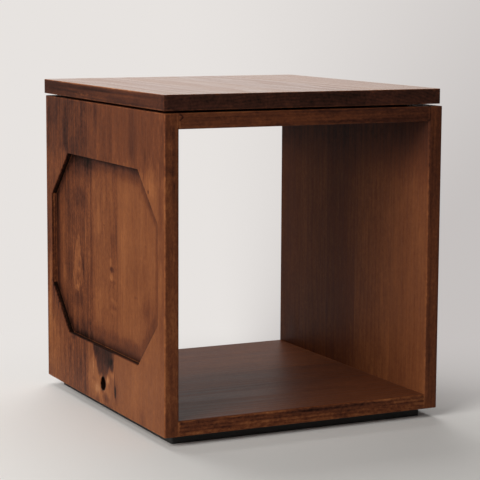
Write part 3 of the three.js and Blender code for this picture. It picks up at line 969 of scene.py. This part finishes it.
# How much smoother than other boards the platform's edges and its top are.
PLATFORM_GLOSS = (-0.2, 0.26)
# The top is paler, partly in its own tone and partly as painted sheen.
PLATFORM_TOP_TONE_AND_SHEEN = 0.31
PLATFORM_TOP_FIGURE = 0.6
PLATFORM_FRONT_FIGURE = 1.7
PLATFORM_SIDE_TONE = -0.19
PLATFORM_END_TONE = -0.10
# The pale specks on the left edge: their noise, where they show, and their tone.
SPECK_SCALES = (600.0, 420.0, 900.0)
SPECK_EDGE = (0.15, 0.7)
SPECK_TONE = 0.34


def platform_board():
    """The stain of the platform, glossier on top and paler there, the paleness partly painted sheen."""
    board = Board("platform_stain", "platform", 1, PLATFORM_STAVES, 33.0, PLATFORM_SHEEN)
    graph = board.graph
    top = board.facing(2, 1)
    board.gloss = graph.slide(top, 0.0, 1.0, *PLATFORM_GLOSS)
    board.shade(PLATFORM_TOP_TONE_AND_SHEEN, top)
    board.liven(top, PLATFORM_TOP_FIGURE)
    board.liven(board.facing(1), PLATFORM_FRONT_FIGURE)
    board.shade(PLATFORM_SIDE_TONE, board.facing(0))
    board.shade(PLATFORM_END_TONE, board.end)
    left = board.facing(0, -1)
    board.shade(mark_tone(graph, board.through, board.along, PLATFORM_LEFT_MARKS), left)
    specks = graph.noise(graph.stretch(board.place, SPECK_SCALES), 1.0, 0.5)
    speckled = graph.times(
        mark_tone(graph, board.through, board.along, PLATFORM_SPECKS), SPECK_TONE)
    board.shade(speckled, left, graph.ease(specks, *SPECK_EDGE))
    marks = mark_tone(graph, board.across, board.through, PLATFORM_FRONT_MARKS)
    board.shade(marks, board.facing(1, -1))
    return board.finish()


FINE_RELIEF = 0.1 * MM
SCREW_ROUGHNESS = (0.28, 0.42)


def plain_finish(name, colour, shades, scales, texture, relief, **fields):
    """A finish without grain: fine noise between two shades of a colour, and some relief."""
    material, graph, shader = new_material(name, **fields)
    place = graph.add("ShaderNodeTexCoord").outputs["Object"]
    mottle = graph.noise(graph.stretch(place, scales), *texture)
    first, second = (opaque([shade * part for part in colour]) for shade in shades)
    graph.put(shader["Base Color"], graph.mix(graph.slide(mottle, -1.0, 1.0), first, second))
    if relief:
        bump = graph.add("ShaderNodeBump", {
            "Height": mottle, "Strength": relief, "Distance": FINE_RELIEF})
        graph.put(shader["Normal"], bump.outputs[0])
    else:
        graph.put(shader["Roughness"], graph.slide(mottle, -1.0, 1.0, *SCREW_ROUGHNESS))
    return material


# ---------------- operators

class STAND_OT_side_panels(bpy.types.Operator):
    """Stains both side panels, with upright grain"""

    bl_idname = "stand.side_panels"
    bl_label = "Finish side panels"

    def execute(self, context):
        left, right = (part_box(f"{side}_side_panel") for side in ("left", "right"))
        dress("left_side_panel", side_panel(
            "left_panel_stain", "left_side_panel", LEFT_STAVES, 3.0, left[0][0],
            LEFT_FACE_MARKS, LEFT_FLOOR_MARKS, LEFT_KNOTS))
        dress("right_side_panel", side_panel(
            "right_panel_stain", "right_side_panel", RIGHT_STAVES, 11.0, right[1][0]))
        return {"FINISHED"}


class STAND_OT_boards(bpy.types.Operator):
    """Stains the top and bottom boards, with grain along the width"""

    bl_idname = "stand.boards"
    bl_label = "Finish boards"

    def execute(self, context):
        for look in LEVEL_BOARDS:
            dress(look.node, level_board(look))
        return {"FINISHED"}


class STAND_OT_platform(bpy.types.Operator):
    """Stains the loose platform, with grain from front to back"""

    bl_idname = "stand.platform"
    bl_label = "Finish platform"

    def execute(self, context):
        dress("platform", platform_board())
        return {"FINISHED"}


class STAND_OT_plinth(bpy.types.Operator):
    """Paints the four plinth rails matt black"""

    bl_idname = "stand.plinth"
    bl_label = "Finish plinth"

    def execute(self, context):
        material = plain_finish(
            "plinth_black_paint", context.scene.stand_hardware.paint, (1.0, 2.0),
            (120.0, 120.0, 500.0), (3.0, 0.6), 0.3, Roughness=0.62)
        dress("plinth_", material, "_rail")
        return {"FINISHED"}


class STAND_OT_pads(bpy.types.Operator):
    """Gives the pads under the platform a matt rubber finish"""

    bl_idname = "stand.pads"
    bl_label = "Finish pads"

    def execute(self, context):
        material = plain_finish(
            "pad_black_rubber", context.scene.stand_hardware.rubber, (1.0, 1.8),
            (1500.0, 1500.0, 1500.0), (2.0, 0.5), 0.4, Roughness=0.85)
        dress("pad_", material)
        return {"FINISHED"}


class STAND_OT_dowels(bpy.types.Operator):
    """Leaves the dowels in bare beech"""

    bl_idname = "stand.dowels"
    bl_label = "Finish dowels"

    def execute(self, context):
        material = plain_finish(
            "dowel_bare_beech", context.scene.stand_hardware.beech, (0.72, 1.0),
            (150.0, 2200.0, 2200.0), (2.0, 0.6), 0.4, Roughness=0.7)
        dress("dowel_", material)
        return {"FINISHED"}


class STAND_OT_screws(bpy.types.Operator):
    """Gives the plinth screws a zinc-plated finish"""

    bl_idname = "stand.screws"
    bl_label = "Finish screws"

    def execute(self, context):
        material = plain_finish(
            "screw_zinc_plate", context.scene.stand_hardware.zinc, (0.8, 1.0),
            (700.0, 700.0, 700.0), (3.0, 0.6), 0.0, Metallic=1.0)
        dress("plinth_screw_", material)
        return {"FINISHED"}


Lamp = namedtuple("Lamp", "name place width colour")

KEY_LAMP = Lamp("key_lamp", (-2.35, -0.94, 1.45), 1.8, (1.0, 0.985, 0.96))
TOP_LAMP = Lamp("top_lamp", (0.1, 1.45, 2.2), 2.0, (1.0, 0.99, 0.98))
LIT_POINT = (0.0, 0.0, 0.22)
SENSOR_WIDTH = 36.0
VIEW_REACH = 100.0
# How near to its heading a direction must be to see the backdrop, and then its dimmer side.
BACKDROP_EDGE = (0.60, 0.92)
DIM_HEADING = math.radians(75.0)
DIM_EDGE = (0.62, 0.84)
FLOOR_REACH = 400.0
# The floor melts into the backdrop at these distances from a point in front of the stand: beyond them it
# glows in the backdrop's colour, painted light in place of its lit shading and shadows.
SHADOW_MIDDLE = (-0.18, -0.30, 0.0)
PAPER_EDGE = (0.34, 0.9)


def area_lamp(lamp, power):
    """A square lamp that faces the stand."""
    light = bpy.data.lights.new(lamp.name, "AREA")
    light.shape = "SQUARE"
    light.size = lamp.width
    light.energy = power
    light.color = lamp.colour
    made = bpy.data.objects.new(lamp.name, light)
    made.location = lamp.place
    aim = Vector(LIT_POINT) - Vector(lamp.place)
    made.rotation_euler = aim.to_track_quat("-Z", "Y").to_euler()
    bpy.context.scene.collection.objects.link(made)


def towards(graph, direction, heading, edge):
    """1 for directions near a heading and 0 away from it."""
    ahead = (math.sin(heading), math.cos(heading), 0.0)
    facing = graph.add("ShaderNodeVectorMath", {0: direction, 1: ahead}, operation="DOT_PRODUCT")
    return graph.ease(facing.outputs["Value"], *edge)


def studio(graph, direction, settings):
    """Where the backdrop hangs, and its colour, for a direction from the stand."""
    backdrop = towards(graph, direction, settings.camera_heading, BACKDROP_EDGE)
    dimmer = towards(graph, direction, DIM_HEADING, DIM_EDGE)
    return backdrop, graph.mix(dimmer, opaque(settings.backdrop), opaque(settings.far_backdrop))


class STAND_OT_stage(bpy.types.Operator):
    """Sets the camera, the soft lamps and the pale floor"""

    bl_idname = "stand.stage"
    bl_label = "Set stage"

    def execute(self, context):
        settings = context.scene.stand_stage
        self.set_camera(context, settings)
        area_lamp(KEY_LAMP, settings.key_power)
        area_lamp(TOP_LAMP, settings.top_power)
        self.set_world(context, settings)
        self.set_floor(context, settings)
        context.scene.view_settings.view_transform = "Standard"
        return {"FINISHED"}

    def set_camera(self, context, settings):
        camera = bpy.data.cameras.new("camera")
        camera.sensor_width = SENSOR_WIDTH
        camera.lens = settings.camera_lens
        camera.clip_end = VIEW_REACH
        view = bpy.data.objects.new("camera", camera)
        heading, tilt = settings.camera_heading, settings.camera_tilt
        ahead = Vector((
            math.sin(heading) * math.cos(tilt), math.cos(heading) * math.cos(tilt), -math.sin(tilt)))
        right = Vector((math.cos(heading), -math.sin(heading), 0.0))
        turned = Matrix.Rotation(-settings.camera_roll, 3, ahead)
        right = turned @ right
        axes = Matrix((right, right.cross(ahead), -ahead)).transposed().to_4x4()
        view.matrix_world = Matrix.Translation(settings.camera_place) @ axes
        context.scene.collection.objects.link(view)
        context.scene.camera = view

    def set_world(self, context, settings):
        world = bpy.data.worlds.new("studio")
        context.scene.world = world
        world.use_nodes = True
        graph = Graph(world.node_tree)
        paths = graph.add("ShaderNodeLightPath").outputs
        direction = graph.add("ShaderNodeTexCoord").outputs["Generated"]
        backdrop, colour = studio(graph, direction, settings)
        mirrored = graph.times(backdrop, graph.most(
            paths["Is Glossy Ray"], paths["Is Transmission Ray"]))
        seen = graph.most(paths["Is Camera Ray"], mirrored)
        background = world.node_tree.nodes["Background"].inputs
        graph.put(background["Color"], colour)
        graph.put(background["Strength"], graph.slide(seen, 0.0, 1.0, settings.ambient, 1.0))

    def set_floor(self, context, settings):
        mesh = bpy.data.meshes.new("floor")
        corners = [(x * FLOOR_REACH, y * FLOOR_REACH, 0) for x, y in ((-1, -1), (1, -1), (1, 1), (-1, 1))]
        mesh.from_pydata(corners, [], [(0, 1, 2, 3)])
        floor = bpy.data.objects.new("floor", mesh)
        context.scene.collection.objects.link(floor)
        material, graph, shader = new_material("floor_paper", Roughness=0.9)
        graph.put(shader["Base Color"], opaque(settings.floor))
        place = graph.add("ShaderNodeTexCoord").outputs["Object"]
        distance = graph.add("ShaderNodeVectorMath", {0: place, 1: SHADOW_MIDDLE}, operation="DISTANCE")
        away = distance.outputs["Value"]
        outward = graph.add("ShaderNodeVectorMath", {0: place}, operation="NORMALIZE")
        backdrop, colour = studio(graph, outward.outputs["Vector"], settings)
        paths = graph.add("ShaderNodeLightPath").outputs
        seen = graph.most(paths["Is Camera Ray"], paths["Is Glossy Ray"])
        lit = graph.most(paths["Is Camera Ray"], graph.slide(backdrop, 0.0, 1.0, settings.ambient, 1.0))
        glow = graph.add("ShaderNodeEmission", {"Color": colour, "Strength": lit})
        blend = graph.add("ShaderNodeMixShader", {
            "Fac": graph.times(seen, graph.ease(away, *PAPER_EDGE)),
            1: material.node_tree.nodes["Principled BSDF"].outputs[0],
            2: glow.outputs[0],
        })
        graph.put(material.node_tree.nodes["Material Output"].inputs["Surface"], blend.outputs[0])
        mesh.materials.append(material)


class STAND_PT_sidebar(bpy.types.Panel):
    """Lists the settings and the steps that finish the stand"""

    bl_idname = "STAND_PT_sidebar"
    bl_label = "Record Stand"
    bl_space_type = "VIEW_3D"
    bl_region_type = "UI"
    bl_category = CATEGORY

    def draw(self, context):
        for title, pointer in (
            ("Stain", context.scene.stand_stain),
            ("Paint and hardware", context.scene.stand_hardware),
            ("Stage", context.scene.stand_stage),
        ):
            box = self.layout.box()
            box.label(text=title)
            for name in pointer.__annotations__:
                box.prop(pointer, name)
        for step in STEPS:
            self.layout.operator(step.bl_idname)


STEPS = (
    STAND_OT_stage,
    STAND_OT_side_panels,
    STAND_OT_boards,
    STAND_OT_platform,
    STAND_OT_plinth,
    STAND_OT_pads,
    STAND_OT_dowels,
    STAND_OT_screws,
)
SETTINGS = {
    "stand_stain": StainSettings,
    "stand_hardware": HardwareSettings,
    "stand_stage": StageSettings,
}
CLASSES = (*SETTINGS.values(), *STEPS, STAND_PT_sidebar)


def register():
    for made in CLASSES:
        bpy.utils.register_class(made)
    for name, group in SETTINGS.items():
        setattr(bpy.types.Scene, name, PointerProperty(type=group))


def unregister():
    for name in SETTINGS:
        delattr(bpy.types.Scene, name)
    for made in reversed(CLASSES):
        bpy.utils.unregister_class(made)


def main():
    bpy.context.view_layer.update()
    register()
    build_shared_effects()
    for step in STEPS:
        area, name = step.bl_idname.split(".")
        getattr(getattr(bpy.ops, area), name)()


if __name__ == "__main__":
    main()
